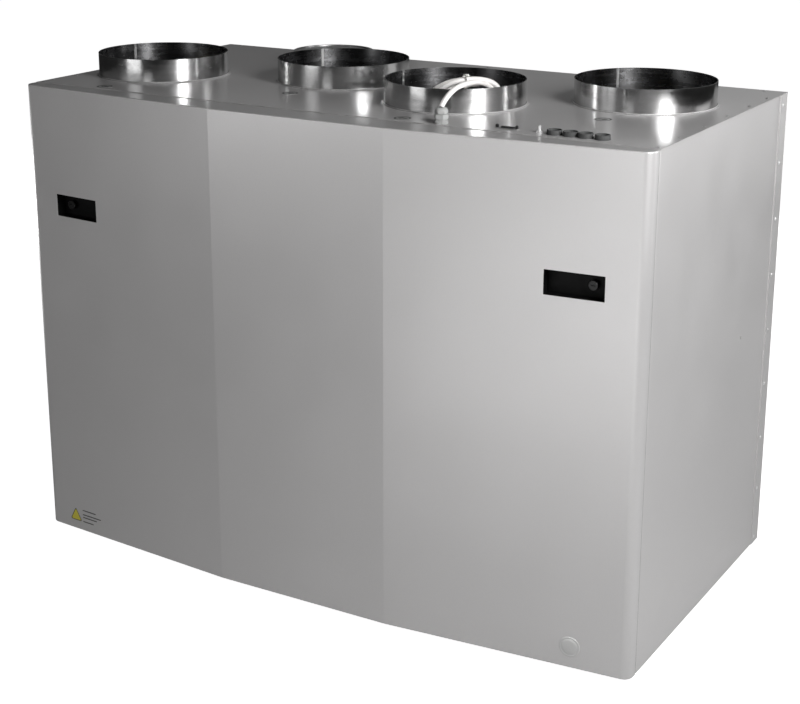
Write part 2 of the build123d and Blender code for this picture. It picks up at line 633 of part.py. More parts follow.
# --------------------------------------------------------------------- cord --
# Supply cord, 9 mm: out of the gland, over the extract spigot's front rim, a tied
# coil inside the spigot, and a short end with its plug hanging below the coil.
COIL_C = Vector(199.0, 193.0, 906.0)    # middle of the coil
COIL_U = Vector(0.67, 0.742, 0).normalized()     # level direction along the coil's width
COIL_TILT = 50.0                                 # coil's plane from level
COIL_R = 55.0                                    # radius of the coil's round ends
COIL_S = 10.0                                    # half the straight between them
COIL_B = 11.0                                    # radius of the bundle
t_ = math.radians(COIL_TILT)
side_in = Vector(0.742, -0.67, 0).normalized()   # level, towards the front right wall
COIL_V = Vector(side_in.X * math.cos(t_), side_in.Y * math.cos(t_), math.sin(t_))   # up the coil's plane


def on_coil(a, b):
    """A point in the coil's plane, a along its width and b up its slope."""
    return COIL_C + COIL_U * a + COIL_V * b


s_, r_ = COIL_S, COIL_R
coil_wire = Wire(
    [
        Line(on_coil(-s_, r_), on_coil(s_, r_)).edge(),
        ThreePointArc(on_coil(s_, r_), on_coil(s_ + r_, 0), on_coil(s_, -r_)).edge(),
        Line(on_coil(s_, -r_), on_coil(-s_, -r_)).edge(),
        ThreePointArc(on_coil(-s_, -r_), on_coil(-s_ - r_, 0), on_coil(-s_, r_)).edge(),
    ]
)
sec = Plane(origin=on_coil(0, r_), z_dir=COIL_U) * Circle(COIL_B)
halves = sweep(sec, path=coil_wire)
coil = halves
put("cord_coil", coil)


def tube(points, d, label):
    """Straight runs joined by tangent arcs, as large as the runs allow."""
    pts = [Vector(*p) for p in points]
    radii = []
    for a, b, c in zip(pts, pts[1:], pts[2:]):
        r1, r2 = b - a, c - b
        turn = math.radians(r1.get_angle(r2))
        radii.append(0.45 * min(r1.length, r2.length) / math.tan(turn / 2))
    line = FilletPolyline(*pts, radius=radii) if len(pts) > 2 else Line(*pts)
    wire = Wire(line.edges())
    start = wire.edges()[0]
    sect = Plane(origin=wire @ 0, z_dir=wire % 0) * Circle(d / 2)
    out = sweep(sect, path=wire)
    print(
        label, "radii", [round(r, 1) for r in radii], "runs", [round((b - a).length, 1) for a, b in zip(pts, pts[1:])],
        "length %.1f" % wire.length, "volume ratio %.4f" % (out.volume / (math.pi * d * d / 4 * wire.length)),
    )
    return out


CORD_LEAD = [
    (238.0, 49.0, GLAND_TOP),
    (238.4, 51.3, GLAND_TOP + 9.8),
    (239.4, 56.8, GLAND_TOP + 19.3),
    (241.0, 65.4, GLAND_TOP + 26.8),
    (243.0, 78.0, GLAND_TOP + 31.6),
    (244.6, 97.0, GLAND_TOP + 34.2),
    (244.6, 121.0, GLAND_TOP + 34.6),
    (241.5, 147.0, GLAND_TOP + 34.2),
    (237.0, 166.0, GLAND_TOP + 32.8),
    (234.0, 178.5, GLAND_TOP + 31.2),
]
put("supply_cord", tube(CORD_LEAD, CORD_D, "supply_cord"))
low = on_coil(0, -r_)
PLUG_TOP = 800.0
CORD_TAIL = [
    (low.X - 4, low.Y + 2, low.Z - 3),
    (low.X - 6.0, low.Y + 4.0, low.Z - 20),
    (low.X - 4.0, low.Y + 7.0, low.Z - 38),
    (low.X - 4.0, low.Y + 8.0, PLUG_TOP),
]
put("cord_tail", tube(CORD_TAIL, CORD_D, "cord_tail"))
px_, py2 = low.X - 4.0, low.Y + 8.0
plug = cyl_z(px_, py2, PLUG_TOP - 58, PLUG_TOP - 22, 18.5)
plug = plug + Pos(px_, py2, PLUG_TOP - 11) * Cone(18.5, 7.0, 22)
plug = plug - box(px_ - 30, px_ - 15, py2 - 3, py2 + 3, PLUG_TOP - 60, PLUG_TOP - 30)
plug = plug - box(px_ + 15, px_ + 30, py2 - 3, py2 + 3, PLUG_TOP - 60, PLUG_TOP - 30)
for s in (-1, 1):
    plug = plug + cyl_z(px_, py2 + s * 9.5, PLUG_TOP - 77, PLUG_TOP - 57, 2.4)
put("cord_plug", plug)
tie_p = on_coil(-4, r_)
tie = Plane(origin=tie_p, z_dir=COIL_U) * (Cylinder(COIL_B + 1.6, 4.0) - Cylinder(COIL_B + 0.2, 6.0))
head = Plane(origin=tie_p + COIL_V * (COIL_B + 3.0), x_dir=COIL_U, z_dir=COIL_V) * Box(5, 5.5, 4.5)
tie = tie + head
put("cord_tie", tie)

print(len(MODEL), "nodes")
boxes = [s.bounding_box() for v in MODEL.values() for s in v]
print("low corner", [round(min(getattr(b.min, k) for b in boxes), 2) for k in "XYZ"])
print("high corner", [round(max(getattr(b.max, k) for b in boxes), 2) for k in "XYZ"])
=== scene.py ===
import math

import bmesh
import bpy
from mathutils import Matrix, Vector


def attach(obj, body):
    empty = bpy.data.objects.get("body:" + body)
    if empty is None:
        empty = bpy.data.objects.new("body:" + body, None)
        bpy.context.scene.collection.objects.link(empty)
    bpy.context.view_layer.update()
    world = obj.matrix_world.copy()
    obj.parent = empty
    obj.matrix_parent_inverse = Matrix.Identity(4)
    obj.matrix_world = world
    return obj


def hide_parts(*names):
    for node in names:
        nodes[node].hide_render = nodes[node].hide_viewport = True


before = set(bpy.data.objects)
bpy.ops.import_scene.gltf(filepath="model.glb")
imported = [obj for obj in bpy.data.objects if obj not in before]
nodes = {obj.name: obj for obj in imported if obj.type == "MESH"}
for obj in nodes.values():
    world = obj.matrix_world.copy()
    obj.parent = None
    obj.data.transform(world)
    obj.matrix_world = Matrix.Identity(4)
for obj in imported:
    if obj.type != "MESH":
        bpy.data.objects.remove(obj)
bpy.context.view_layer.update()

scene = bpy.context.scene

# The design's own frame: millimetres, Y = 0 at the door's corners and Z = 0 at the
# casing's bottom. R() turns its points into the row frame in metres.
Y_SHIFT, Z_SHIFT = -307.0, 15.0
W, H, D, BOW, CREASE_X = 1260.0, 890.0, 650.0, 36.0, 177.0
SPIGOTS = {
    "outdoor_air_spigot": (-488.0, 239.0),
    "exhaust_air_spigot": (-141.0, 347.0),
    "extract_air_spigot": (162.0, 236.0),
    "supply_air_spigot": (451.0, 403.0),
}
HOOD = (-275.0, 520.0)


def R(x, y, z):
    return Vector((x / 1000.0, (y + Y_SHIFT) / 1000.0, (z + Z_SHIFT) / 1000.0))


# ------------------------------------------------------------------ camera --
def camera():
    data = bpy.data.cameras.new("camera")
    cam = bpy.data.objects.new("camera", data)
    scene.collection.objects.link(cam)
    yaw, pitch, roll = math.radians(-30.50), math.radians(16.37), math.radians(0.08)
    cam.location = R(1517.5, -2255.9, 1375.0)
    fw = Vector((math.sin(yaw) * math.cos(pitch), math.cos(yaw) * math.cos(pitch), -math.sin(pitch)))
    right = Vector((math.cos(yaw), -math.sin(yaw), 0.0))
    up = right.cross(fw)
    r = math.cos(roll) * right + math.sin(roll) * up
    u = -math.sin(roll) * right + math.cos(roll) * up
    m = Matrix((r, u, -fw)).transposed()
    cam.rotation_mode = "QUATERNION"
    cam.rotation_quaternion = m.to_quaternion()
    data.sensor_width = 36.0
    data.lens = 1622.4 / 800.0 * 36.0
    data.shift_y = -0.075
    data.clip_start, data.clip_end = 0.05, 200.0
    scene.camera = cam


camera()

# --------------------------------------------------------------- materials --
MATS = {}


class Nodes:
    """A small helper that builds a material's node tree."""

    def __init__(self, name):
        self.m = bpy.data.materials.new(name)
        self.m.use_nodes = True
        self.t = self.m.node_tree
        self.t.nodes.clear()
        self.out = self.t.nodes.new("ShaderNodeOutputMaterial")
        self.b = self.t.nodes.new("ShaderNodeBsdfPrincipled")
        self.link(self.b.outputs[0], self.out.inputs[0])
        self.tc = self.t.nodes.new("ShaderNodeTexCoord")
        MATS[name] = self.m

    def link(self, a, b):
        self.t.links.new(a, b)

    def add(self, kind, **props):
        n = self.t.nodes.new(kind)
        for k, v in props.items():
            setattr(n, k, v)
        return n

    def set(self, **values):
        names = {
            "rough": "Roughness", "metal": "Metallic", "spec": "Specular IOR Level", "coat": "Coat Weight",
            "coat_rough": "Coat Roughness", "base": "Base Color", "sheen": "Sheen Weight", "ior": "IOR",
            "aniso": "Anisotropic", "subsurf": "Subsurface Weight", "transmission": "Transmission Weight",
        }
        for k, v in values.items():
            s = self.b.inputs[names[k]]
            s.default_value = (*v, 1.0) if k == "base" and len(v) == 3 else v
        return self

    def mapping(self, scale=(1, 1, 1), loc=(0, 0, 0), rot=(0, 0, 0), source=None):
        mp = self.add("ShaderNodeMapping")
        mp.inputs["Scale"].default_value = scale
        mp.inputs["Location"].default_value = loc
        mp.inputs["Rotation"].default_value = rot
        self.link(source or self.tc.outputs["Object"], mp.inputs["Vector"])
        return mp.outputs[0]

    def noise(self, scale, detail=2.0, rough=0.5, vector=None, distortion=0.0):
        n = self.add("ShaderNodeTexNoise")
        n.inputs["Scale"].default_value = scale
        n.inputs["Detail"].default_value = detail
        n.inputs["Roughness"].default_value = rough
        n.inputs["Distortion"].default_value = distortion
        self.link(vector or self.tc.outputs["Object"], n.inputs["Vector"])
        return n.outputs["Fac"]

    def voronoi(self, scale, feature="F1", vector=None, output="Distance", rand=1.0):
        n = self.add("ShaderNodeTexVoronoi", feature=feature)
        n.inputs["Scale"].default_value = scale
        n.inputs["Randomness"].default_value = rand
        self.link(vector or self.tc.outputs["Object"], n.inputs["Vector"])
        return n.outputs[output]

    def ramp(self, fac, stops):
        n = self.add("ShaderNodeValToRGB")
        e = n.color_ramp.elements
        while len(e) < len(stops):
            e.new(0.5)
        for el, (p, c) in zip(e, stops):
            el.position = p
            el.color = (*c, 1.0) if len(c) == 3 else c
        self.link(fac, n.inputs[0])
        return n.outputs[0]

    def maprange(self, fac, a, b, lo=0.0, hi=1.0, clamp=True):
        n = self.add("ShaderNodeMapRange", clamp=clamp)
        n.inputs["From Min"].default_value = lo
        n.inputs["From Max"].default_value = hi
        n.inputs["To Min"].default_value = a
        n.inputs["To Max"].default_value = b
        self.link(fac, n.inputs["Value"])
        return n.outputs[0]

    def math(self, op, a, b=None, c=None):
        n = self.add("ShaderNodeMath", operation=op)
        for i, v in enumerate((a, b, c)):
            if v is None:
                continue
            if isinstance(v, (int, float)):
                n.inputs[i].default_value = v
            else:
                self.link(v, n.inputs[i])
        return n.outputs[0]

    def mix(self, fac, a, b, blend="MIX"):
        n = self.add("ShaderNodeMix", data_type="RGBA", blend_type=blend)
        for i, v in ((0, fac), (6, a), (7, b)):
            if isinstance(v, (int, float)):
                n.inputs[i].default_value = v
            elif isinstance(v, tuple):
                n.inputs[i].default_value = (*v, 1.0) if len(v) == 3 else v
            else:
                self.link(v, n.inputs[i])
        return n.outputs[2]

    def color(self, socket):
        self.link(socket, self.b.inputs["Base Color"])
        return self

    def rough(self, socket):
        self.link(socket, self.b.inputs["Roughness"])
        return self

    def bump(self, height, strength=0.2, distance=0.0002, normal=None):
        n = self.add("ShaderNodeBump")
        n.inputs["Strength"].default_value = strength
        n.inputs["Distance"].default_value = distance
        self.link(height, n.inputs["Height"])
        if normal is not None:
            self.link(normal, n.inputs["Normal"])
        self.link(n.outputs[0], self.b.inputs["Normal"])
        return n.outputs[0]

    def done(self):
        return self.m


PAINT_METAL, PAINT_ROUGH, PAINT_COAT, PAINT_COAT_ROUGH = 0.55, 0.41, 0.5, 0.14
PAINT_BASE = (0.64, 0.63, 0.63)


def paint(name, base, metal, rough, grain=1.0):
    """Sprayed coat: soft orange peel, a faint cloudiness, and flakes that catch the light."""
    n = Nodes(name).set(metal=metal, spec=0.5)
    cloud = n.noise(2.2, 3.0)
    fine = n.noise(1500.0, 2.0, 0.6)
    c = n.mix(n.maprange(cloud, 0.0, 1.0, 0.3, 0.7), tuple(v * 0.975 for v in base), tuple(min(1, v * 1.02) for v in base))
    c = n.mix(n.maprange(fine, 0.0, 0.35, 0.4, 0.7), c, tuple(v * 0.86 for v in base))
    n.color(c)
    n.rough(n.maprange(n.noise(9.0, 3.0), rough - 0.03, rough + 0.03, 0.3, 0.7))
    peel = n.noise(420.0, 2.0, 0.5)
    first = n.bump(peel, 0.08 * grain, 0.00010)
    n.bump(fine, 0.08 * grain, 0.00005, normal=first)
    n.set(coat=PAINT_COAT, coat_rough=PAINT_COAT_ROUGH)
    return n.done()


def galvanised(name, base=(0.60, 0.60, 0.60), rough=0.17, streak=1.0, aniso=0.4):
    """Rolled galvanised strip bent into a ring: fine level lines over a faint spangle."""
    n = Nodes(name).set(metal=1.0, aniso=aniso)
    n.b.inputs["Anisotropic Rotation"].default_value = 0.25
    around = n.add("ShaderNodeTangent", direction_type="RADIAL", axis="Z")
    n.link(around.outputs[0], n.b.inputs["Tangent"])
    lines = n.noise(1.0, 5.0, 0.7, n.mapping((5, 5, 1700)))
    wide = n.noise(1.0, 3.0, 0.6, n.mapping((11, 11, 170)))
    spangle = n.voronoi(120.0, output="Color")
    sp = n.add("ShaderNodeSeparateColor")
    n.link(spangle, sp.inputs[0])
    stain = n.noise(21.0, 4.0, 0.6)
    tone = n.math("ADD", n.math("MULTIPLY", lines, 0.5), n.math("MULTIPLY", wide, 0.5))
    c = n.ramp(tone, [(0.25, tuple(v * 0.80 for v in base)), (0.5, base), (0.75, tuple(min(1.0, v * 1.16) for v in base))])
    c = n.mix(n.maprange(sp.outputs[0], 0.0, 0.35), c, tuple(v * 0.86 for v in base))
    c = n.mix(n.maprange(stain, 0.0, 0.45, 0.55, 0.8), c, tuple(v * 0.72 for v in base))
    n.color(c)
    r = n.math("ADD", n.maprange(wide, rough - 0.03, rough + 0.05, 0.3, 0.7), n.maprange(sp.outputs[1], -0.015, 0.025))
    n.rough(n.math("ADD", r, n.maprange(stain, 0.0, 0.10, 0.55, 0.8)))
    first = n.bump(lines, 0.07 * streak, 0.00005)
    n.bump(n.noise(30.0, 2.0), 0.03, 0.0010, normal=first)
    return n.done()


def plain_zinc(name, base=(0.50, 0.51, 0.515)):
    n = Nodes(name).set(metal=0.95)
    cells = n.voronoi(70.0, output="Color")
    sp = n.add("ShaderNodeSeparateColor")
    n.link(cells, sp.inputs[0])
    c = n.mix(n.maprange(sp.outputs[0], 0.0, 1.0), tuple(v * 0.86 for v in base), tuple(v * 1.10 for v in base))
    c = n.mix(n.maprange(n.noise(6.0, 4.0), 0.0, 0.35, 0.4, 0.7), c, tuple(v * 0.8 for v in base))
    n.color(c)
    n.rough(n.math("ADD", n.maprange(sp.outputs[1], 0.30, 0.44), n.maprange(n.noise(30.0), -0.03, 0.05)))
    n.bump(n.noise(220.0, 3.0), 0.08, 0.0002)
    return n.done()


def plastic(name, base, rough, grain=600.0, bump=0.15, vary=0.08, spec=0.5):
    n = Nodes(name).set(spec=spec)
    c = n.mix(n.maprange(n.noise(25.0, 3.0), 0.0, 1.0, 0.3, 0.7), tuple(v * (1 - vary) for v in base), tuple(min(1, v * (1 + vary)) for v in base))
    n.color(c)
    n.rough(n.maprange(n.noise(60.0, 3.0), rough - 0.06, rough + 0.06, 0.3, 0.7))
    n.bump(n.noise(grain, 3.0, 0.6), bump, 0.00012)
    return n.done()


def metal(name, base, rough, streak=(1, 1, 1), scale=300.0, spec=0.5):
    n = Nodes(name).set(metal=1.0)
    g = n.noise(scale, 3.0, 0.6, n.mapping(streak))
    n.color(n.mix(n.maprange(g, 0.0, 1.0, 0.3, 0.7), tuple(v * 0.82 for v in base), tuple(min(1, v * 1.12) for v in base)))
    n.rough(n.maprange(n.noise(40.0, 3.0), rough - 0.06, rough + 0.08, 0.3, 0.7))
    n.bump(g, 0.12, 0.00008)
    return n.done()


def wool(name, base=(0.62, 0.56, 0.36)):
    n = Nodes(name).set(rough=0.95, spec=0.2)
    f = n.noise(260.0, 6.0, 0.7, n.mapping((1, 1, 0.35)))
    n.color(n.ramp(f, [(0.25, tuple(v * 0.55 for v in base)), (0.5, base), (0.8, tuple(min(1, v * 1.3) for v in base))]))
    n.bump(f, 0.8, 0.002)
    return n.done()


door_paint = paint("door_paint_m", PAINT_BASE, PAINT_METAL, PAINT_ROUGH)
case_paint = paint("case_paint_m", PAINT_BASE, PAINT_METAL, PAINT_ROUGH)
zinc = plain_zinc("zinc_m")
spigot_m = galvanised("spigot_m")
# bore_shade_m: a darker copy of the ring galvanising for the inner faces, painted shade inside the bores
bore_shade_m = galvanised("bore_shade_m", (0.24, 0.24, 0.245), 0.24, 1.6, 0.5)
cap_m = galvanised("cap_m", (0.42, 0.42, 0.42), 0.34, 0.5)
wool_m = wool("wool_m")
rubber_m = plastic("rubber_m", (0.022, 0.022, 0.023), 0.62, 500.0, 0.25)
black_m = plastic("black_m", (0.006, 0.006, 0.0065), 0.38, 900.0, 0.30)
pocket_m = plastic("pocket_m", (0.0025, 0.0025, 0.0027), 0.55, 900.0, 0.30, spec=0.16)
steel_m = metal("steel_m", (0.50, 0.50, 0.51), 0.30, (1, 1, 6))
rivet_m = metal("rivet_m", (0.86, 0.86, 0.86), 0.46)
alu_m = metal("alu_m", (0.75, 0.76, 0.77), 0.30, (1, 1, 4))
grey_m = plastic("grey_m", (0.36, 0.365, 0.36), 0.45, 700.0, 0.2, 0.05)
grommet_m = plastic("grommet_m", (0.055, 0.056, 0.056), 0.66, 700.0, 0.2, spec=0.22)
cord_m = plastic("cord_m", (0.78, 0.765, 0.745), 0.38, 300.0, 0.10, 0.03)
tie_m = plastic("tie_m", (0.82, 0.82, 0.79), 0.35, 800.0, 0.1, 0.03)
pcb_m = plastic("pcb_m", (0.02, 0.14, 0.05), 0.35, 900.0, 0.2)
impeller_m = plastic("impeller_m", (0.03, 0.03, 0.032), 0.42, 700.0, 0.2)
latch_m = metal("latch_m", (0.045, 0.045, 0.045), 0.30)
ink_m = plastic("ink_m", (0.035, 0.035, 0.038), 0.5, 300.0, 0.05)
vinyl_m = plastic("vinyl_m", (0.30, 0.30, 0.295), 0.42, 400.0, 0.05, 0.03)
yellow_m = plastic("yellow_m", (0.60, 0.53, 0.06), 0.36, 400.0, 0.05, 0.04)
seam_m = metal("seam_m", (0.46, 0.46, 0.46), 0.34, (1, 1, 8))
badge_m = paint("badge_m", (0.66, 0.66, 0.655), 0.60, 0.34)


def filter_material():
    n = Nodes("filter_m").set(rough=0.9, spec=0.2, sheen=0.2)
    f = n.noise(700.0, 5.0, 0.7)
    n.color(n.ramp(f, [(0.3, (0.66, 0.67, 0.66)), (0.7, (0.86, 0.87, 0.85))]))
    n.bump(f, 0.5, 0.0006)
    return n.done()


filter_m = filter_material()


def matrix_material():
    """Wound corrugated foil seen on edge: rings round the shaft crossed by flutes, the flutes' openings painted
    near-black as painted shade for the channels' depth.
    """
    n = Nodes("matrix_m").set(metal=0.9)
    mp = n.mapping((1, 1, 1), (0, -0.025, -0.335))
    sep = n.add("ShaderNodeSeparateXYZ")
    n.link(mp, sep.inputs[0])
    rad = n.math("SQRT", n.math("ADD", n.math("POWER", sep.outputs[1], 2.0), n.math("POWER", sep.outputs[2], 2.0)))
    ring = n.math("PINGPONG", n.math("MULTIPLY", rad, 520.0), 0.5)
    ang = n.math("ARCTAN2", sep.outputs[2], sep.outputs[1])
    flute = n.math("PINGPONG", n.math("MULTIPLY", n.math("MULTIPLY", ang, rad), 380.0), 0.5)
    hole = n.math("MULTIPLY", ring, flute)
    # foil edges light, channel openings near-black: painted shade for the depth of the channels
    n.color(n.ramp(hole, [(0.02, (0.72, 0.73, 0.74)), (0.10, (0.30, 0.30, 0.31)), (0.2, (0.05, 0.05, 0.05))]))
    n.rough(n.maprange(hole, 0.3, 0.8, 0.0, 0.2))
    n.bump(hole, 0.6, 0.001)
    n.b.inputs["Normal"].links[0].from_node.invert = True
    return n.done()


matrix_m = matrix_material()


def give(name, material):
    o = nodes[name]
    o.data.materials.clear()
    o.data.materials.append(material)


for name in nodes:
    give(name, zinc)
for name in ("top_panel", "left_side_panel", "right_side_panel", "back_panel"):
    give(name, case_paint)
give("front_door_skin", door_paint)
# flange_shade_m: a darker copy of the door paint for the flange's top face, painted shade
flange_shade_m = paint("flange_shade_m", tuple(v * 0.80 for v in PAINT_BASE), PAINT_METAL, 0.46)
# edge_highlight_m: a lighter copy of the door paint for the rounded top front edge, a painted highlight line
edge_highlight_m = paint("edge_highlight_m", tuple(min(1.0, v * 1.3) for v in PAINT_BASE), PAINT_METAL, 0.30)
nodes["front_door_skin"].data.materials.append(flange_shade_m)
nodes["front_door_skin"].data.materials.append(edge_highlight_m)
# index 1, the flange top, takes the painted shade; index 2, the rounded top front edge, takes the painted highlight
for p in nodes["front_door_skin"].data.polygons:
    if p.normal.z > 0.9 and p.center.z > (H + Z_SHIFT - 1.0) / 1000.0:
        p.material_index = 1
    elif 0.12 < p.normal.z <= 0.9 and p.normal.y < -0.05 and p.center.z > (H + Z_SHIFT - 3.0) / 1000.0:
        p.material_index = 2
for name in SPIGOTS:
    give(name, spigot_m)
    o = nodes[name]
    # inward-facing faces take the darker copy: painted shade inside the ring
    o.data.materials.append(bore_shade_m)
    cx, cy = R(*SPIGOTS[name], 0.0).xy
    for p in o.data.polygons:
        q = p.center
        if p.normal.x * (q.x - cx) + p.normal.y * (q.y - cy) < -0.05:
            p.material_index = 1
give("hood_spigot", spigot_m)
give("hood_cap", cap_m)
for name in ("base_insulation", "side_insulation", "back_insulation", "top_insulation", "door_insulation"):
    give(name, wool_m)
for name in ("rubber_feet", "door_seal", "drive_belt"):
    give(name, rubber_m)
for name in ("left_handle_pocket", "right_handle_pocket"):
    give(name, pocket_m)
give("service_connector", black_m)
for name in ("supply_impeller", "exhaust_impeller"):
    give(name, impeller_m)
for name in ("rotor_drive_motor", "supply_fan_motor", "exhaust_fan_motor", "rotor_shaft", "rotor_bearings",
             "rotor_hub", "motor_pulley", "electric_heater"):
    give(name, steel_m)
for name in ("left_latch", "right_latch"):
    give(name, latch_m)
give("rotor_rim", alu_m)
give("rotor_matrix", matrix_m)
for name in ("casing_rivets", "pressure_nipple"):
    give(name, rivet_m)
for name in ("supply_filter", "extract_filter"):
    give(name, filter_m)
give("control_board", pcb_m)
give("cable_gland", grey_m)
give("cable_grommets", grommet_m)
give("door_badge", badge_m)
for name in ("supply_cord", "cord_coil", "cord_tail", "cord_plug", "cord_tie"):
    give(name, cord_m)


# ------------------------------------------------------------------ helpers --
def obj_from_bm(name, bm, material, body="cabinet", smooth=None, mats=None):
    me = bpy.data.meshes.new(name)
    bmesh.ops.recalc_face_normals(bm, faces=bm.faces)
    bm.to_mesh(me)
    bm.free()
    o = bpy.data.objects.new(name, me)
    scene.collection.objects.link(o)
    for m in mats or [material]:
        me.materials.append(m)
    if smooth is not None:
        for p in me.polygons:
            p.use_smooth = True
        me.set_sharp_from_angle(angle=math.radians(smooth))
    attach(o, body)
    return o


def lathe(bm, profile, centre, segments=64, closed=True, axis="Z"):
    """Turns (radius, height) points round an axis through `centre` (metres, row frame)."""
    rings = []
    for k in range(segments):
        a = 2 * math.pi * k / segments
        ring = []
        for r, h in profile:
            if axis == "Z":
                p = Vector((r * math.cos(a), r * math.sin(a), h))
            elif axis == "X":
                p = Vector((h, r * math.cos(a), r * math.sin(a)))
            else:
                p = Vector((r * math.cos(a), h, r * math.sin(a)))
            ring.append(bm.verts.new(centre + p / 1000.0))
        rings.append(ring)
    n = len(profile)
    for k in range(segments):
        a, b = rings[k], rings[(k + 1) % segments]
        for i in range(n if closed else n - 1):
            j = (i + 1) % n
            vs = [a[i], a[j], b[j], b[i]]
            bm.faces.new(vs)


# --------------------------------------------------------------------- cord --
GLAND_TOP = H + 27.0
COIL_C = Vector((199.0, 193.0, 899.5))
COIL_U = Vector((0.67, 0.742, 0.0)).normalized()
TILT = math.radians(50.0)
side_in = Vector((0.742, -0.67, 0.0)).normalized()
COIL_V = Vector((side_in.x * math.cos(TILT), side_in.y * math.cos(TILT), math.sin(TILT)))
COIL_N = COIL_U.cross(COIL_V).normalized()
COIL_R, COIL_S = 55.0, 10.0
CORD_D = 9.0

LEAD = [
    (238.0, 49.0, GLAND_TOP),
    (238.6, 51.3, GLAND_TOP + 3.8),
    (240.3, 57.2, GLAND_TOP + 10.9),
    (243.1, 67.4, GLAND_TOP + 19.7),
    (246.4, 79.1, GLAND_TOP + 26.2),
    (250.0, 91.9, GLAND_TOP + 30.0),
    (253.5, 115.5, GLAND_TOP + 31.9),
    (252.6, 139.7, GLAND_TOP + 30.0),
    (250.0, 162.4, GLAND_TOP + 25.7),
    (248.1, 181.6, GLAND_TOP + 20.2),
]


# how the strands lie over each other, a quarter turn at a time: (turns, front, up) in mm
LAY = [
    (0.00, 4.6, -4.8), (0.17, 4.4, -5.2), (0.42, 8.5, 2.0), (0.67, -5.0, 5.6), (0.92, -4.8, 4.6),
    (1.17, -4.6, 4.6), (1.42, -9.0, -2.5), (1.67, 5.0, -4.6), (1.92, 4.7, 4.6), (2.17, 4.6, 5.0),
    (2.42, 0.5, 0.5), (2.67, -4.8, -4.8), (2.92, -4.6, -4.7), (3.17, -4.6, -5.0), (3.45, -2.0, -7.5),
]
TOWARDS = Vector((0.472, -0.868, 0.157))


def lay_at(t):
    for (t0, f0, u0), (t1, f1, u1) in zip(LAY, LAY[1:]):
        if t <= t1 or (t1, f1, u1) == LAY[-1]:
            k = min(1.0, max(0.0, (t - t0) / (t1 - t0)))
            k = k * k * (3 - 2 * k)
            return f0 + (f1 - f0) * k, u0 + (u1 - u0) * k


def coil_point(theta, t):
    """A point of the coil's turns: theta round the oval, t the turns so far."""
    radial = COIL_U * math.cos(theta) + COIL_V * math.sin(theta)
    beta = math.atan2(TOWARDS.dot(COIL_N), TOWARDS.dot(radial))
    front, up = lay_at(t)
    rho = front * math.cos(beta) + up * math.sin(beta)
    nu = front * math.sin(beta) - up * math.cos(beta)
    rr = COIL_R + rho
    a = COIL_S * max(-1.0, min(1.0, 2.2 * math.cos(theta))) + rr * math.cos(theta)
    b = rr * math.sin(theta)
    return COIL_C + COIL_U * a + COIL_V * b + COIL_N * nu


def cord():
    pts = [Vector(p) for p in LEAD]
    start, end = math.radians(62.0), math.radians(-1135.0)
    per_turn = 14
    n = int(abs(end - start) / (2 * math.pi) * per_turn)
    for k in range(n + 1):
        th = start + (end - start) * k / n
        pts.append(coil_point(th, abs(th - start) / (2 * math.pi)))
    low = COIL_C - COIL_V * COIL_R
    # leaves the last turn on its way down and swings under it to the plug
    pts += [Vector(p) for p in (
        (201.4, 245.6, 870.5), (191.8, 241.9, 861.8), (182.9, 236.6, 849.7), (175.6, 230.9, 835.6),
        (170.6, 226.5, 820.6), (168.8, 224.7, 806.0), (168.8, 224.7, 801.0), (168.8, 224.7, 796.0),
    )]
    cu = bpy.data.curves.new("supply_cord_line", "CURVE")
    cu.dimensions = "3D"
    sp = cu.splines.new("NURBS")
    sp.points.add(len(pts) - 1)
    for q, p in zip(sp.points, pts):
        q.co = (*R(p.x, p.y, p.z), 1.0)
    sp.order_u = 3
    sp.use_endpoint_u = True
    sp.resolution_u = 8
    cu.bevel_depth = CORD_D / 2000.0
    cu.bevel_resolution = 5
    cu.use_fill_caps = True
    cu.materials.append(cord_m)
    o = bpy.data.objects.new("supply_cord_line", cu)
    scene.collection.objects.link(o)
    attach(o, "cabinet")
    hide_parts("supply_cord", "cord_coil", "cord_tail")
    return o, low


cord_obj, cord_low = cord()


def line_length(o):
    bare = bpy.data.objects.new("bare", o.data.copy())
    bare.data.bevel_depth = 0.0
    me = bpy.data.meshes.new_from_object(bare)
    ps = [v.co.copy() for v in me.vertices]
    bpy.data.meshes.remove(me)
    c = bare.data
    bpy.data.objects.remove(bare)
    bpy.data.curves.remove(c)
    return sum((b - a).length for a, b in zip(ps, ps[1:]))


CORD_LEN = line_length(cord_obj)
print("cord length", round(CORD_LEN, 4))


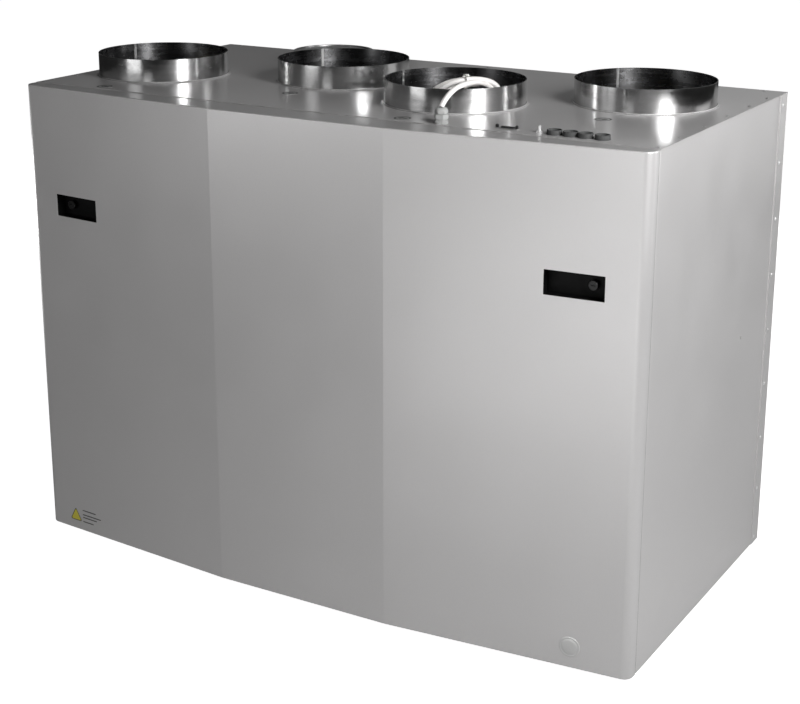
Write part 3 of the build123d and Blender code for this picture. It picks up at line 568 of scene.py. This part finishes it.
def tie():
    """A cable tie: a strap drawn round the turns, its square head and the cut tail."""
    bm = bmesh.new()
    c = COIL_C + COIL_U * -7.0 + COIL_V * (COIL_R + 0.2)
    n = 40
    ring = []
    for k in range(n):
        a = 2 * math.pi * k / n
        ru, rv = 11.6, 11.4
        row = []
        for w, dr in ((-1.9, 0.0), (-1.9, 1.2), (1.9, 1.2), (1.9, 0.0)):
            q = c + COIL_U * w + COIL_N * ((ru + dr) * math.cos(a)) + COIL_V * ((rv + dr) * math.sin(a))
            row.append(bm.verts.new(R(q.x, q.y, q.z)))
        ring.append(row)
    for k in range(n):
        a, b = ring[k], ring[(k + 1) % n]
        for i in range(4):
            j = (i + 1) % 4
            bm.faces.new([a[i], a[j], b[j], b[i]])
    # head
    hc = c + COIL_V * 14.0
    def block(centre, u, v, w, hu, hv, hw, taper=1.0):
        vs = []
        for sw in (-1, 1):
            for su, sv in ((-1, -1), (1, -1), (1, 1), (-1, 1)):
                k = taper if sw > 0 else 1.0
                q = centre + u * (su * hu * k) + v * (sv * hv * k) + w * (sw * hw)
                vs.append(bm.verts.new(R(q.x, q.y, q.z)))
        for f in ((0, 1, 2, 3), (4, 5, 6, 7), (0, 1, 5, 4), (1, 2, 6, 5), (2, 3, 7, 6), (3, 0, 4, 7)):
            bm.faces.new([vs[i] for i in f])
    block(hc, COIL_U, COIL_N, COIL_V, 2.7, 2.9, 2.1, 0.86)
    block(hc + COIL_V * 3.2 + COIL_N * 2.6, COIL_U, COIL_N, (COIL_V + COIL_N * 0.6).normalized(), 1.8, 0.6, 3.0, 1.0)
    o = obj_from_bm("cord_tie_strap", bm, tie_m, smooth=40)
    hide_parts("cord_tie")
    return o


tie_obj = tie()


def plug():
    """A moulded plug with side grips, hanging pins down on the cord's end."""
    x, y, top = cord_low.x - 4.0, cord_low.y + 8.0, 800.0
    c = R(x, y, 0)
    bm = bmesh.new()
    prof = [(0.0, top + 2), (5.0, top + 2), (5.6, top), (6.2, top - 6), (7.0, top - 7), (6.6, top - 9), (8.0, top - 10),
            (7.8, top - 13), (9.4, top - 14), (12.5, top - 18), (16.0, top - 22), (18.0, top - 27), (18.5, top - 32), (18.5, top - 55),
            (17.8, top - 57.5), (17.0, top - 58), (15.8, top - 58), (15.5, top - 42), (0.0, top - 42)]
    lathe(bm, prof, c, 48, closed=False)
    bmesh.ops.remove_doubles(bm, verts=bm.verts, dist=1e-6)
    for s in (-1, 1):
        lathe(bm, [(0.0, top - 41), (2.4, top - 41), (2.4, top - 75.4), (1.6, top - 77), (0.0, top - 77)], c + Vector((0, s * 0.0095, 0)), 20, closed=False)
    bmesh.ops.remove_doubles(bm, verts=bm.verts, dist=1e-6)
    o = obj_from_bm("cord_plug_body", bm, cord_m, smooth=35, mats=[cord_m, steel_m])
    for p in o.data.polygons:
        q = p.center
        if abs(abs(q.y - c.y) - 0.0095) < 0.004 and abs(q.x - c.x) < 0.004 and q.z < (top - 42 + Z_SHIFT) / 1000.0 + 1e-4:
            p.material_index = 1
    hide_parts("cord_plug")
    return o


plug_obj = plug()

# ------------------------------------------------------------------ details --
def prism(bm, points, z0, z1, place):
    """A straight-sided solid over (x, y) points, from z0 to z1, in a placed frame (mm)."""
    lo = [bm.verts.new(place(x, y, z0)) for x, y in points]
    hi = [bm.verts.new(place(x, y, z1)) for x, y in points]
    bm.faces.new(lo[::-1])
    bm.faces.new(hi)
    n = len(points)
    for i in range(n):
        bm.faces.new([lo[i], lo[(i + 1) % n], hi[(i + 1) % n], hi[i]])


def bevel(o, width, segments=2, angle=35):
    m = o.modifiers.new("bevel", "BEVEL")
    m.width = width / 1000.0
    m.segments = segments
    m.limit_method = "ANGLE"
    m.angle_limit = math.radians(angle)
    return o


def ngon(r, n, turn=0.0):
    return [(r * math.cos(2 * math.pi * k / n + turn), r * math.sin(2 * math.pi * k / n + turn)) for k in range(n)]


def rounded(w, h, r, n=6):
    pts = []
    for cx, cy, a0 in ((w / 2 - r, h / 2 - r, 0), (-w / 2 + r, h / 2 - r, 90), (-w / 2 + r, -h / 2 + r, 180), (w / 2 - r, -h / 2 + r, 270)):
        for k in range(n + 1):
            a = math.radians(a0 + 90.0 * k / n)
            pts.append((cx + r * math.cos(a), cy + r * math.sin(a)))
    return pts


def on_top(cx, cy, turn=0.0, z=H):
    c, s = math.cos(turn), math.sin(turn)
    return lambda x, y, h: R(cx + c * x - s * y, cy + s * x + c * y, z + h)


def on_door(cx, cz, lift=0.0):
    """Places (x along the facet, y up, z outwards) on the door's front face."""
    side = 1 if cx > 0 else -1
    slope = math.atan2(BOW, W / 2 - CREASE_X) if abs(cx) > CREASE_X else 0.0
    fy = -BOW + max(0.0, abs(cx) - CREASE_X) * math.tan(slope)
    xd = Vector((math.cos(slope), side * math.sin(slope), 0))
    zd = Vector((side * math.sin(slope), -math.cos(slope), 0))
    o = Vector((cx, fy, cz)) + zd * lift

    def place(x, y, h):
        q = o + xd * x + Vector((0, 0, 1)) * y + zd * h
        return R(q.x, q.y, q.z)

    return place


def gland():
    """Plastic cable gland: serrated flange nut, hexagon body, domed sealing nut."""
    gx, gy = 238.0, 49.0
    bm = bmesh.new()
    teeth = []
    for k in range(28):
        for r, off in ((10.4, 0.0), (10.4, 0.42), (11.6, 0.55), (11.6, 0.88)):
            a = 2 * math.pi * (k + off) / 28
            teeth.append((r * math.cos(a), r * math.sin(a)))
    prism(bm, teeth, 0.05, 5.6, on_top(gx, gy))
    prism(bm, ngon(9.6, 40), 5.4, 7.6, on_top(gx, gy))
    prism(bm, ngon(21.4 / 2 / math.cos(math.pi / 6), 6, math.radians(12)), 7.4, 15.6, on_top(gx, gy))
    prism(bm, ngon(9.2, 40), 15.4, 16.8, on_top(gx, gy))
    o = obj_from_bm("gland_body", bm, grey_m)
    bevel(o, 0.7, 2, 30)
    bm = bmesh.new()
    # the dome nut: twelve shallow flats that run into a rounded top with the cord's hole
    segs = 72
    prof = [(0.0, 16.6), (1.0, 17.0), (1.0, 21.6), (0.985, 22.8), (0.93, 24.2), (0.82, 25.4), (0.70, 26.3), (0.60, 26.8), (0.52, 26.9), (0.49, 26.6), (0.48, 24.0)]
    rings = []
    for k in range(segs):
        a = 2 * math.pi * k / segs
        flat = 10.4 / math.cos(((a + math.pi / 6) % (math.pi / 3)) - math.pi / 6)
        base = min(flat, 11.3)
        row = []
        for i, (f, z) in enumerate(prof):
            if i == 0:
                r = 4.7
            else:
                mixf = max(0.0, min(1.0, (z - 21.0) / 3.5))
                r = (base * (1 - mixf) + 10.4 * mixf) * f
            row.append(bm.verts.new(R(gx + r * math.cos(a), gy + r * math.sin(a), H + z)))
        rings.append(row)
    n = len(prof)
    for k in range(segs):
        p, q = rings[k], rings[(k + 1) % segs]
        for i in range(n):
            j = (i + 1) % n
            bm.faces.new([p[i], p[j], q[j], q[i]])
    cap = obj_from_bm("gland_nut", bm, grey_m, smooth=38)
    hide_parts("cable_gland")


gland()


def grommets():
    bm = bmesh.new()
    for x in (439.0, 467.0, 493.0, 522.0):
        prof = [(0.0, 3.6), (3.0, 3.5), (3.4, 3.9), (6.6, 3.7), (7.2, 3.2), (8.6, 3.3), (9.6, 4.4), (10.2, 6.4), (10.7, 7.5), (11.3, 7.9), (12.0, 7.7),
                (12.4, 7.0), (12.5, 2.2), (12.9, 1.8), (13.0, 0.1), (0.0, 0.1)]
        lathe(bm, [(r, H + Z_SHIFT + h) for r, h in prof], Vector((x / 1000.0, (57.0 + Y_SHIFT) / 1000.0, 0.0)), 48, closed=False)
    bmesh.ops.remove_doubles(bm, verts=bm.verts, dist=1e-6)
    o = obj_from_bm("dished_grommets", bm, grommet_m, smooth=35)
    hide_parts("cable_grommets")


grommets()


def connector():
    """Service socket: flanged D shell with its pins' cavity, and two jack posts."""
    cx, cy, turn = 352.0, 63.0, math.radians(2.5)
    pl = on_top(cx, cy, turn)
    bm = bmesh.new()
    prism(bm, rounded(42.0, 9.4, 2.2), 0.05, 0.9, pl)
    o = obj_from_bm("socket_flange", bm, plain_m)
    bevel(o, 0.2)
    bm = bmesh.new()
    outer = [(-11.2, 3.0), (-10.4, 3.7), (12.4, 3.7), (13.2, 3.0), (11.9, -3.0), (11.0, -3.7), (-9.0, -3.7), (-9.9, -3.0)]
    inner = [(x * 0.92 + 0.08, y * 0.80) for x, y in outer]
    rows = []
    for pts, h in ((outer, 0.8), (outer, 3.2), (inner, 3.2), (inner, 1.4)):
        rows.append([bm.verts.new(pl(x, y, h)) for x, y in pts])
    for p, q in zip(rows, rows[1:]):
        for i in range(8):
            bm.faces.new([p[i], p[(i + 1) % 8], q[(i + 1) % 8], q[i]])
    bm.faces.new(rows[0][::-1])
    bm.faces.new(rows[-1])
    for k in range(9):
        x = -7.4 + k * 1.95
        for y in (-1.0, 1.1):
            prism(bm, ngon(0.5, 8), 1.3, 2.6, on_top(cx + x * math.cos(turn) - y * math.sin(turn), cy + x * math.sin(turn) + y * math.cos(turn)))
    o = obj_from_bm("socket_shell", bm, black_m)
    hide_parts("service_connector")
    bm = bmesh.new()
    for x in (-17.6, 17.0):
        px, py = cx + x * math.cos(turn), cy + x * math.sin(turn)
        prism(bm, ngon(2.9, 6, 0.3), 0.8, 5.4, on_top(px, py))
        prism(bm, ngon(1.7, 20), 5.3, 6.3, on_top(px, py))
    o = obj_from_bm("socket_posts", bm, black_m)
    bevel(o, 0.35)


def flow_stickers():
    """Round vinyl marks by the spigots, each a plain arrow in a ring."""
    for i, (x, y, turn, way) in enumerate(((-483.0, 56.0, 90, -1), (-144.0, 170.0, 90, 1), (160.0, 56.0, 90, -1), (452.0, 218.0, 90, 1))):
        pl = on_top(x, y)
        bm = bmesh.new()
        prism(bm, ngon(15.5, 64), 0.02, 0.22, pl)
        o = obj_from_bm("flow_mark_%d" % (i + 1), bm, vinyl_m)
        bm = bmesh.new()
        # ring
        n = 64
        lo = [[bm.verts.new(pl(r * math.cos(2 * math.pi * k / n), r * math.sin(2 * math.pi * k / n), 0.30)) for k in range(n)] for r in (11.8, 14.4)]
        for k in range(n):
            bm.faces.new([lo[0][k], lo[0][(k + 1) % n], lo[1][(k + 1) % n], lo[1][k]])
        shaft = [(-8.6, -2.7), (0.6, -2.7), (0.6, -7.0), (9.6, 0.0), (0.6, 7.0), (0.6, 2.7), (-8.6, 2.7)]
        bm.faces.new([bm.verts.new(pl(way * px, way * py, 0.30)) for px, py in shaft])
        ext = bmesh.ops.extrude_face_region(bm, geom=list(bm.faces))
        bmesh.ops.translate(bm, verts=[v for v in ext["geom"] if isinstance(v, bmesh.types.BMVert)], vec=(0, 0, -0.00012))
        o = obj_from_bm("flow_arrow_%d" % (i + 1), bm, ink_m)


def door_marks():
    # a plain yellow triangle with four plain bars beside it, low on the left facet
    pl = on_door(-560.0, 31.0)
    bm = bmesh.new()
    tri = []
    for k in range(3):
        a = math.radians(90 + 120 * k)
        for d in (-60, -20, 20, 60):
            tri.append((13.6 * math.cos(a) + 2.4 * math.cos(a + math.radians(d)), 13.6 * math.sin(a) + 2.4 * math.sin(a + math.radians(d)) - 3.0))
    prism(bm, tri, 0.02, 0.14, pl)
    o = obj_from_bm("door_triangle_edge", bm, ink_m, "door")
    bm = bmesh.new()
    prism(bm, [(x * 0.84, (y + 3.0) * 0.84 - 3.0) for x, y in tri], 0.10, 0.22, pl)
    o = obj_from_bm("door_triangle", bm, yellow_m, "door")
    bm = bmesh.new()
    for y, length in ((13.0, 36.0), (4.0, 50.0), (-2.0, 38.0), (-11.0, 29.0)):
        bar = [(px + 19.0 + length / 2, py + y) for px, py in rounded(length, 2.1, 0.5, 2)]
        prism(bm, bar, 0.02, 0.12, pl)
    o = obj_from_bm("door_label_bars", bm, ink_m, "door")

    # badge: a shallow dished disc with a raised rim and no mark on it
    c = on_door(524.0, 39.0)
    bm = bmesh.new()
    prof = [(0.0, 1.7), (6.0, 1.66), (10.5, 1.5), (13.4, 1.22), (14.4, 0.85), (15.4, 0.78), (16.2, 1.0), (17.0, 1.05), (17.8, 0.8), (18.4, 0.4), (18.5, 0.02), (0.0, 0.02)]
    n = 96
    rings = [[bm.verts.new(c(r * math.cos(2 * math.pi * k / n), r * math.sin(2 * math.pi * k / n), h)) for r, h in prof] for k in range(n)]
    for k in range(n):
        p, q = rings[k], rings[(k + 1) % n]
        for i in range(len(prof) - 1):
            bm.faces.new([p[i], p[i + 1], q[i + 1], q[i]])
    bmesh.ops.remove_doubles(bm, verts=bm.verts, dist=1e-6)
    o = obj_from_bm("door_badge_disc", bm, badge_m, "door", smooth=30)
    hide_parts("door_badge")


def spigot_seams():
    """Each ring's lap joint: the overlapping edge inside, with its row of spot welds."""
    seams = {"outdoor_air_spigot": 245.7, "exhaust_air_spigot": 232.0, "extract_air_spigot": 258.2, "supply_air_spigot": 226.5}
    for name, az in seams.items():
        cx, cy = SPIGOTS[name]
        ri = 125.0 - 1.2
        bm = bmesh.new()
        a0 = math.radians(az - 90.0)
        n, half = 4, math.radians(1.15)
        z0, z1 = H - 26.0, H + 43.6
        rows = []
        for k in range(n + 1):
            a = a0 - half + 2 * half * k / n
            rows.append([bm.verts.new(R(cx + r * math.cos(a), cy + r * math.sin(a), z)) for r, z in ((ri + 0.1, z0), (ri - 0.7, z0), (ri - 0.7, z1), (ri + 0.1, z1))])
        for p, q in zip(rows, rows[1:]):
            for i in range(4):
                j = (i + 1) % 4
                bm.faces.new([p[i], p[j], q[j], q[i]])
        bm.faces.new(rows[0])
        bm.faces.new(rows[-1][::-1])
        # spot welds: shallow round dents ringed by pushed-up metal
        for k in range(6):
            zc = H - 18.0 + k * 11.0
            m = 14
            cen = bm.verts.new(R(cx + (ri - 0.75) * math.cos(a0), cy + (ri - 0.75) * math.sin(a0), zc))
            prev = None
            first = None
            rr = []
            for r, out in ((0.7, 0.80), (1.3, 1.15), (1.9, 0.72)):
                ring = []
                for q in range(m):
                    t = 2 * math.pi * q / m
                    da = r * math.cos(t) / ri
                    ring.append(bm.verts.new(R(cx + (ri - out) * math.cos(a0 + da), cy + (ri - out) * math.sin(a0 + da), zc + r * math.sin(t))))
                rr.append(ring)
            for q in range(m):
                bm.faces.new([cen, rr[0][q], rr[0][(q + 1) % m]])
                for u, v in zip(rr, rr[1:]):
                    bm.faces.new([u[q], v[q], v[(q + 1) % m], u[(q + 1) % m]])
        o = obj_from_bm(name + "_seam", bm, seam_m, smooth=40)


def spigot_collars():
    """The top panel's turned-up neck, a low rounded lip round each ring's foot."""
    for name, (cx, cy) in SPIGOTS.items():
        bm = bmesh.new()
        prof = [(125.15, 0.05), (125.15, 2.3), (125.5, 2.9), (126.1, 3.1), (126.8, 2.9), (127.3, 2.2), (127.8, 1.2), (128.8, 0.5), (130.2, 0.15), (131.0, 0.05)]
        lathe(bm, [(r, H + Z_SHIFT + h) for r, h in prof], Vector((cx / 1000.0, (cy + Y_SHIFT) / 1000.0, 0.0)), 160)
        o = obj_from_bm(name + "_collar", bm, case_paint, smooth=60)


FRONT_EDGE = 29.6


def front_bead():
    """The folded front edge of the top panel, just behind the door's top flange."""
    bm = bmesh.new()
    rows = []
    for x in (-W / 2 + 4.0, W / 2 - 4.0):
        rows.append([bm.verts.new(R(x, FRONT_EDGE + y, H + z)) for y, z in ((-0.9, 0.02), (-0.8, 0.6), (-0.3, 1.0), (0.3, 1.0), (0.8, 0.6), (1.0, 0.02))])
    for i in range(5):
        bm.faces.new([rows[0][i], rows[0][i + 1], rows[1][i + 1], rows[1][i]])
    bm.faces.new([rows[0][5], rows[0][0], rows[1][0], rows[1][5]])
    for row in rows:
        bm.faces.new(row)
    o = obj_from_bm("top_panel_front_fold", bm, case_paint, smooth=50)


def gap_shade_strips():
    """Black strips in the narrow gap between the door and the casing sides, a dark sheet put in as painted shade for
    the gap's shadow line.
    """
    bm = bmesh.new()
    for side in (-1, 1):
        xs = sorted((side * 625.0, side * 629.5))
        v = [bm.verts.new(R(x, y, z)) for z in (4.0, H - 4.0) for x, y in ((xs[0], 24.1), (xs[1], 24.1), (xs[1], 25.9), (xs[0], 25.9))]
        for f in ((0, 3, 2, 1), (4, 5, 6, 7), (0, 1, 5, 4), (1, 2, 6, 5), (2, 3, 7, 6), (3, 0, 4, 7)):
            bm.faces.new([v[i] for i in f])
    o = obj_from_bm("door_gap_shade_strips", bm, rubber_m, "door")


plain_m = plain_zinc("plain_m", (0.55, 0.55, 0.55))
connector()
flow_stickers()
door_marks()
spigot_seams()
spigot_collars()
front_bead()
gap_shade_strips()


# ------------------------------------------------------------------ lights --
# name: place (m, design frame), target, width, height, watts
LIGHTS = {
    "key_strip": ((1.82, -0.56, 1.70), (0.3, 0.2, 0.9), 0.58, 1.2, 50.3),
    "left_box": ((-0.83, -1.37, 0.72), (0.14, -0.46, 0.72), 0.88, 0.32, 1.4),
    "left_top": ((-0.83, -1.37, 1.13), (0.14, -0.46, 1.13), 0.88, 0.28, 0.6),
    "ring_card": ((-0.83, -1.37, 1.13), (0.14, -0.46, 1.13), 0.40, 0.28, 2.4),
    "front_box": ((-0.5, -3.6, 0.95), (0.0, 0.0, 0.5), 1.3, 1.7, 0.0),
    "front_mid": ((0.15, -3.7, 0.8), (0.1, 0.0, 0.5), 1.0, 1.4, 15.2),
    "front_left": ((-2.3, -3.0, 1.3), (0.0, 0.0, 0.5), 1.6, 2.0, 5.0),
    "back_right": ((2.6, 2.0, 1.2), (0.5, 0.3, 0.5), 1.6, 2.0, 12.0),
    "back_left": ((-2.6, 3.6, 2.6), (0.0, 0.3, 0.8), 2.4, 2.0, 3.0),
    "back_wide": ((0.2, 4.6, 2.1), (0.0, 0.3, 0.8), 3.4, 1.6, 4.4),
    "thin_strip": ((2.2, 1.6, 1.4), (0.2, 0.3, 0.9), 0.06, 1.4, 10.7),
    "corner_card": ((2.1, -1.9, 0.70), (0.62, -0.3, 0.45), 0.35, 1.3, 2.6),
    "top_card": ((0.0, 4.4, 1.30), (0.0, 0.3, 0.88), 4.6, 0.55, 2.2),
    "floor_bounce": ((0.45, -1.15, 0.03), (0.45, -0.55, 0.30), 1.3, 0.9, 3.6),
    "back_fill": ((-0.4, 3.4, 0.42), (-0.2, 0.6, 0.45), 3.0, 0.6, 26.0),
    "left_fill": ((-2.6, 0.6, 0.20), (-0.6, 0.4, 0.30), 1.8, 0.3, 11.0),
}
# lights that a flag keeps off the polished duct rings
RINGS = ("outdoor_air_spigot", "exhaust_air_spigot", "extract_air_spigot", "supply_air_spigot")
FLAGGED = {"front_box": RINGS, "front_mid": RINGS, "front_left": RINGS, "back_right": RINGS, "thin_strip": (RINGS[1], RINGS[3], "top_panel"),
           "left_fill": RINGS, "back_fill": RINGS}
# narrow cards: one lights only the rings and the sheet round their feet, one only the door, for its rounded corner
CARDS = {"ring_card": RINGS + ("top_panel",), "corner_card": ("front_door_skin",),
         "top_card": ("top_panel",)}
AMBIENT = 0.02


def area(name, loc, target, size, size_y, energy):
    d = bpy.data.lights.new(name, "AREA")
    d.shape = "RECTANGLE"
    d.size, d.size_y = size, size_y
    d.energy = energy
    o = bpy.data.objects.new(name, d)
    scene.collection.objects.link(o)
    loc = R(*(1000.0 * v for v in loc))
    target = R(*(1000.0 * v for v in target))
    o.location = loc
    o.rotation_mode = "QUATERNION"
    o.rotation_quaternion = (target - loc).to_track_quat("-Z", "Y")
    o.visible_camera = False
    if name in FLAGGED or name in CARDS:
        flag = bpy.data.collections.new(name + "_flag")
        for ring in FLAGGED.get(name, CARDS.get(name)):
            flag.objects.link(nodes[ring])
        for entry in flag.collection_objects:
            entry.light_linking.link_state = "EXCLUDE" if name in FLAGGED else "INCLUDE"
        o.light_linking.receiver_collection = flag
    return o


# ------------------------------------------------------------------- stage --
def stage():
    bm = bmesh.new()
    s = 60.0
    vs = [bm.verts.new((x, y, 0.0)) for x, y in ((-s, -s), (s, -s), (s, s), (-s, s))]
    bm.faces.new(vs)
    me = bpy.data.meshes.new("floor")
    bm.to_mesh(me)
    bm.free()
    o = bpy.data.objects.new("floor", me)
    scene.collection.objects.link(o)
    # a lit pale sweep for the eye that throws back only part of the light on the object
    n = Nodes("floor_m").set(rough=0.9, spec=0.2, base=(0.40, 0.40, 0.40))
    seen = n.add("ShaderNodeBsdfDiffuse")
    seen.inputs[0].default_value = (0.36, 0.36, 0.36, 1)
    glow = n.add("ShaderNodeEmission")
    glow.inputs[0].default_value = (1, 1, 1, 1)
    glow.inputs[1].default_value = 1.0
    both = n.add("ShaderNodeAddShader")
    n.link(seen.outputs[0], both.inputs[0])
    n.link(glow.outputs[0], both.inputs[1])
    path = n.add("ShaderNodeLightPath")
    pick = n.add("ShaderNodeMixShader")
    n.link(path.outputs["Is Camera Ray"], pick.inputs[0])
    n.link(n.b.outputs[0], pick.inputs[1])
    n.link(both.outputs[0], pick.inputs[2])
    n.link(pick.outputs[0], n.out.inputs[0])
    me.materials.append(n.done())

    w = bpy.data.worlds.new("world")
    scene.world = w
    w.use_nodes = True
    t = w.node_tree
    bg = t.nodes["Background"]
    path = t.nodes.new("ShaderNodeLightPath")
    level = t.nodes.new("ShaderNodeMapRange")
    level.inputs["To Min"].default_value = AMBIENT
    level.inputs["To Max"].default_value = 1.0
    t.links.new(path.outputs["Is Camera Ray"], level.inputs["Value"])
    bg.inputs[0].default_value = (1, 1, 1, 1)
    t.links.new(level.outputs[0], bg.inputs[1])


stage()
for name, spec in LIGHTS.items():
    if spec[4] > 0.0:
        area(name, *spec)

scene.view_settings.view_transform = "Standard"
scene.view_settings.look = "None"
